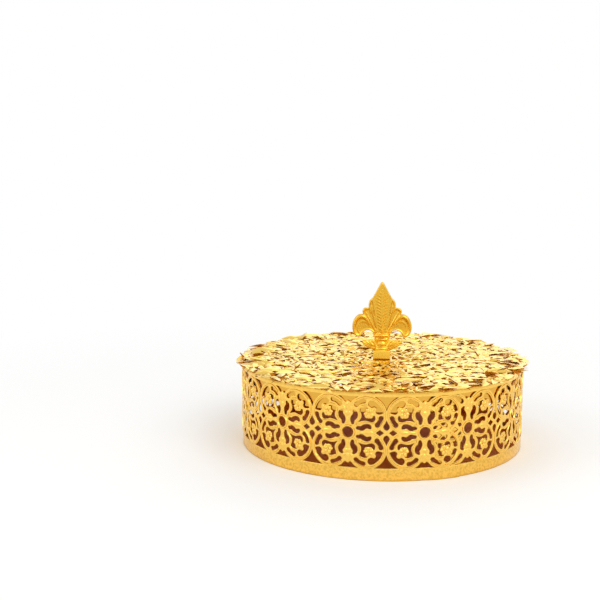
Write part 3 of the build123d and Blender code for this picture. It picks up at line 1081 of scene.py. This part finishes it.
def rolled_brass(colour):
    """Rolled brass strip: even and bright, with faint lines round it from the rolls.

    The lines are drawn 0.5 mm apart, coarser than real ones, so that they show.
    """
    material, tree, shader, at = new_finish("rolled_brass")
    height = add(tree, "SeparateXYZ", {"Vector": at}).outputs["Z"]
    lines = add(
        tree, "TexNoise", {"W": height, "Scale": 1 / (0.5 * MM), "Detail": 2.0}, noise_dimensions="1D")
    tone = add(
        tree, "Mix", {"Factor": lines.outputs["Fac"], "A": tint(colour, 0.86), "B": tint(colour, 1.1)},
        data_type="RGBA")
    tree.links.new(tone.outputs["Result"], shader.inputs["Base Color"])
    gloss = add(tree, "MapRange", {"Value": lines.outputs["Fac"], "To Min": 0.32, "To Max": 0.14})
    tree.links.new(gloss.outputs["Result"], shader.inputs["Roughness"])
    bump = add(tree, "Bump", {"Height": lines.outputs["Fac"], "Strength": 0.25, "Distance": 0.06 * MM})
    tree.links.new(bump.outputs["Normal"], shader.inputs["Normal"])
    return material


def floor_reflection_brown(colour):
    """The floor plate's finish: an even red-brown with a soft gloss, painted shade and reflection standing in
    for the box's gold inside mirrored dimly in the plate.
    """
    material, tree, shader, at = new_finish("floor_reflection_brown", 0.0)
    shader.inputs["Specular IOR Level"].default_value = 0.05
    # The red-brown base colour is painted shade and reflection of the gold inside.
    cloud = add(tree, "TexNoise", {"Vector": at, "Scale": 1 / (14 * MM), "Detail": 2.0})
    tone = add(
        tree, "Mix", {"Factor": cloud.outputs["Fac"], "A": tint(colour, 0.75), "B": tint(colour, 1.2)},
        data_type="RGBA")
    tree.links.new(tone.outputs["Result"], shader.inputs["Base Color"])
    gloss = add(tree, "MapRange", {"Value": cloud.outputs["Fac"], "To Min": 0.6, "To Max": 0.4})
    tree.links.new(gloss.outputs["Result"], shader.inputs["Roughness"])
    return material


def bright_gilt(colour):
    """Bright gilding on stamped leaves: pale and mirror-like, with dents that glint.

    Recesses are painted with a warm brown shade and lose the metal's shine.
    """
    material, tree, shader, at = new_finish("bright_gilt")
    reach = 2.5 * MM
    # Painted shade: warm brown in the recesses between the leaves, which turn matt there as well.
    tree.links.new(painted_recess_shade(tree, colour, reach, (1.0, 0.72, 0.2)), shader.inputs["Base Color"])
    recess_shade_metallic = add(tree, "MapRange", {"Value": recess_shade_mask(tree, reach), "To Min": 0.0, "To Max": 0.92})
    tree.links.new(recess_shade_metallic.outputs["Result"], shader.inputs["Metallic"])
    specks = add(tree, "TexNoise", {"Vector": at, "Scale": 1 / (1.0 * MM), "Detail": 2.0})
    gloss = add(tree, "MapRange", {"Value": specks.outputs["Fac"], "To Min": 0.1, "To Max": 0.34})
    tree.links.new(gloss.outputs["Result"], shader.inputs["Roughness"])
    dents = add(tree, "TexNoise", {"Vector": at, "Scale": 1 / (2.6 * MM)})
    bump = add(tree, "Bump", {"Height": dents.outputs["Fac"], "Strength": 0.2, "Distance": 0.4 * MM})
    tree.links.new(bump.outputs["Normal"], shader.inputs["Normal"])
    return material


def gilded_casting(colour):
    """A gilded casting under clear lacquer: deep yellow and satin, with a sandy skin above its band and
    painted shade in its recesses.
    """
    material, tree, shader, at = new_finish("gilded_casting", 0.85)
    grit = add(tree, "TexNoise", {"Vector": at, "Scale": 1 / (0.7 * MM), "Detail": 2.0})
    height = add(tree, "SeparateXYZ", {"Vector": at}).outputs["Z"]
    above_band = add(
        tree, "MapRange", {"Value": height, "From Min": 79 * MM, "From Max": 83 * MM, "To Max": 0.85})
    depth = add(tree, "Math", {0: grit.outputs["Fac"], 1: above_band.outputs["Result"]}, operation="MULTIPLY")
    # Painted shade: the casting goes deeper and browner in its recesses.
    smooth = painted_recess_shade(tree, colour, 2.2 * MM, (0.56, 0.43, 0.2))
    sandy = tint(colour, 0.6, 0.52, 0.4)
    tone = add(tree, "Mix", {"Factor": depth.outputs[0], "A": smooth, "B": sandy}, data_type="RGBA")
    tree.links.new(tone.outputs["Result"], shader.inputs["Base Color"])
    gloss = add(tree, "MapRange", {"Value": depth.outputs[0], "To Min": 0.18, "To Max": 0.38})
    tree.links.new(gloss.outputs["Result"], shader.inputs["Roughness"])
    bump = add(tree, "Bump", {"Height": depth.outputs[0], "Strength": 0.5, "Distance": 0.15 * MM})
    tree.links.new(bump.outputs["Normal"], shader.inputs["Normal"])
    return material


def zinc_steel():
    """Zinc-plated steel: grey-white, with the plating's dull and bright spangles."""
    material, tree, shader, at = new_finish("zinc_steel")
    spangle = add(tree, "TexNoise", {"Vector": at, "Scale": 1 / (1.8 * MM), "Detail": 2.0})
    tone = add(
        tree, "Mix", {"Factor": spangle.outputs["Fac"], "A": linear("B7B9BC"), "B": linear("D9D9D8")},
        data_type="RGBA")
    tree.links.new(tone.outputs["Result"], shader.inputs["Base Color"])
    gloss = add(tree, "MapRange", {"Value": spangle.outputs["Fac"], "To Min": 0.25, "To Max": 0.45})
    tree.links.new(gloss.outputs["Result"], shader.inputs["Roughness"])
    return material


# Where the ground starts and ends its fade, in metres from the box's middle
FADE = (0.22, 0.55)


def pale_ground(colour):
    """Matt paper sweep: pale and even, and it fades into the white around the box."""
    material, tree, shader, at = new_finish("pale_ground", 0.0)
    shader.inputs["Base Color"].default_value = colour[:]
    shader.inputs["Roughness"].default_value = 0.9
    shader.inputs["Specular IOR Level"].default_value = 0.2
    white = add(tree, "Emission", {"Color": (1, 1, 1, 1), "Strength": 1.0})
    away = add(tree, "VectorMath", {0: at}, operation="LENGTH")
    fade = add(
        tree, "MapRange", {"Value": away.outputs["Value"], "From Min": FADE[0], "From Max": FADE[1]},
        interpolation_type="SMOOTHSTEP")
    seen = add(tree, "Math", {0: fade.outputs["Result"], 1: seen_rays(tree)}, operation="MULTIPLY")
    mix = add(tree, "MixShader", {0: seen.outputs[0], 1: shader.outputs[0], 2: white.outputs[0]})
    tree.links.new(mix.outputs[0], tree.nodes["Material Output"].inputs["Surface"])
    return material


def seen_rays(tree):
    """1 for rays that come from the camera, a reflection or a transmission."""
    ray = add(tree, "LightPath").outputs
    first = add(tree, "Math", {0: ray["Is Camera Ray"], 1: ray["Is Glossy Ray"]}, operation="MAXIMUM")
    both = add(tree, "Math", {0: first.outputs[0], 1: ray["Is Transmission Ray"]}, operation="MAXIMUM")
    return both.outputs[0]


# The stage, in metres
GROUND_RADIUS = 6
WORLD_LEVEL = 0.78
LAMP_AIM = Vector((0, 0, 0.05))
# Each lamp's name, place, size and power
LAMPS = [
    ("key", (0.6, -0.8, 0.9), 1.0, 6.0),
    ("fill", (-1.0, -0.5, 0.6), 0.8, 2.4),
    ("back", (0.2, 1.2, 0.7), 1.0, 2.5)]
CAMERA_PLACE = (0, -0.802, 0.229)
CAMERA_TILT = 80.98
CAMERA_TURN = 4.2
LENS = 68.04


def add_lamp(name, place_at, size, power):
    """A square area lamp that looks at the middle of the box."""
    lamp = bpy.data.lights.new(name, "AREA")
    lamp.size = size
    lamp.energy = power
    obj = bpy.data.objects.new(name, lamp)
    bpy.context.scene.collection.objects.link(obj)
    obj.location = place_at
    obj.rotation_euler = (LAMP_AIM - Vector(place_at)).to_track_quat("-Z", "Y").to_euler()


def light_world(level):
    """An even white world, at this level on matt surfaces and plain white where it is seen."""
    world = bpy.data.worlds.new("studio")
    bpy.context.scene.world = world
    world.use_nodes = True
    tree = world.node_tree
    shine = tree.nodes["Background"]
    shine.inputs["Color"].default_value = (1, 1, 1, 1)
    shine.inputs["Strength"].default_value = level
    white = add(tree, "Background", {"Color": (1, 1, 1, 1), "Strength": 1.0})
    mix = add(tree, "MixShader", {0: seen_rays(tree), 1: shine.outputs[0], 2: white.outputs[0]})
    tree.links.new(mix.outputs[0], tree.nodes["World Output"].inputs["Surface"])


def add_camera():
    """The photograph's view, at a square picture."""
    camera = bpy.data.cameras.new("camera")
    camera.lens = LENS
    camera.sensor_width = 36
    obj = bpy.data.objects.new("camera", camera)
    bpy.context.scene.collection.objects.link(obj)
    obj.location = CAMERA_PLACE
    obj.rotation_euler = (radians(CAMERA_TILT), 0, radians(CAMERA_TURN))
    bpy.context.scene.camera = obj


class FRUITBOX_OT_stage(bpy.types.Operator):
    """Set up the camera, the pale ground and the soft light"""

    bl_idname = "fruitbox.stage"
    bl_label = "Stage"

    def execute(self, context):
        bpy.ops.object.select_all(action="DESELECT")
        bpy.ops.mesh.primitive_circle_add(vertices=64, radius=GROUND_RADIUS, fill_type="NGON")
        ground = context.object
        ground.name = "ground"
        give_material(ground, pale_ground(context.scene.fruit_box_colours.ground))
        add_camera()
        light_world(WORLD_LEVEL)
        for lamp in LAMPS:
            add_lamp(*lamp)
        context.scene.view_settings.view_transform = "Standard"
        return {"FINISHED"}


class FRUITBOX_PT_panel(bpy.types.Panel):
    """The box's pieces, sizes and colours"""

    bl_label = "Dry Fruit Box"
    bl_space_type = "VIEW_3D"
    bl_region_type = "UI"
    bl_category = "Fruit Box"

    def draw(self, context):
        for operator in OPERATORS:
            self.layout.operator(operator.bl_idname)
        for group in (context.scene.fruit_box_sizes, context.scene.fruit_box_colours):
            for name in group.bl_rna.properties.keys():
                if name not in ("rna_type", "name"):
                    self.layout.prop(group, name)


OPERATORS = (FRUITBOX_OT_stage, FRUITBOX_OT_wall, FRUITBOX_OT_rounds, FRUITBOX_OT_lid, FRUITBOX_OT_finial)
CLASSES = (FruitBoxSizes, FruitBoxColours) + OPERATORS + (FRUITBOX_PT_panel,)


def register():
    for cls in CLASSES:
        bpy.utils.register_class(cls)
    bpy.types.Scene.fruit_box_sizes = bpy.props.PointerProperty(type=FruitBoxSizes)
    bpy.types.Scene.fruit_box_colours = bpy.props.PointerProperty(type=FruitBoxColours)


def unregister():
    del bpy.types.Scene.fruit_box_sizes
    del bpy.types.Scene.fruit_box_colours
    for cls in reversed(CLASSES):
        bpy.utils.unregister_class(cls)


def corners(box):
    return [[float(c) for c in corner] for corner in box]


def main():
    register()
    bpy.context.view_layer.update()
    bpy.ops.fruitbox.stage()
    bpy.ops.fruitbox.wall()
    bpy.ops.fruitbox.rounds()
    bpy.ops.fruitbox.lid()
    bpy.ops.fruitbox.finial()


if __name__ == "__main__":
    main()
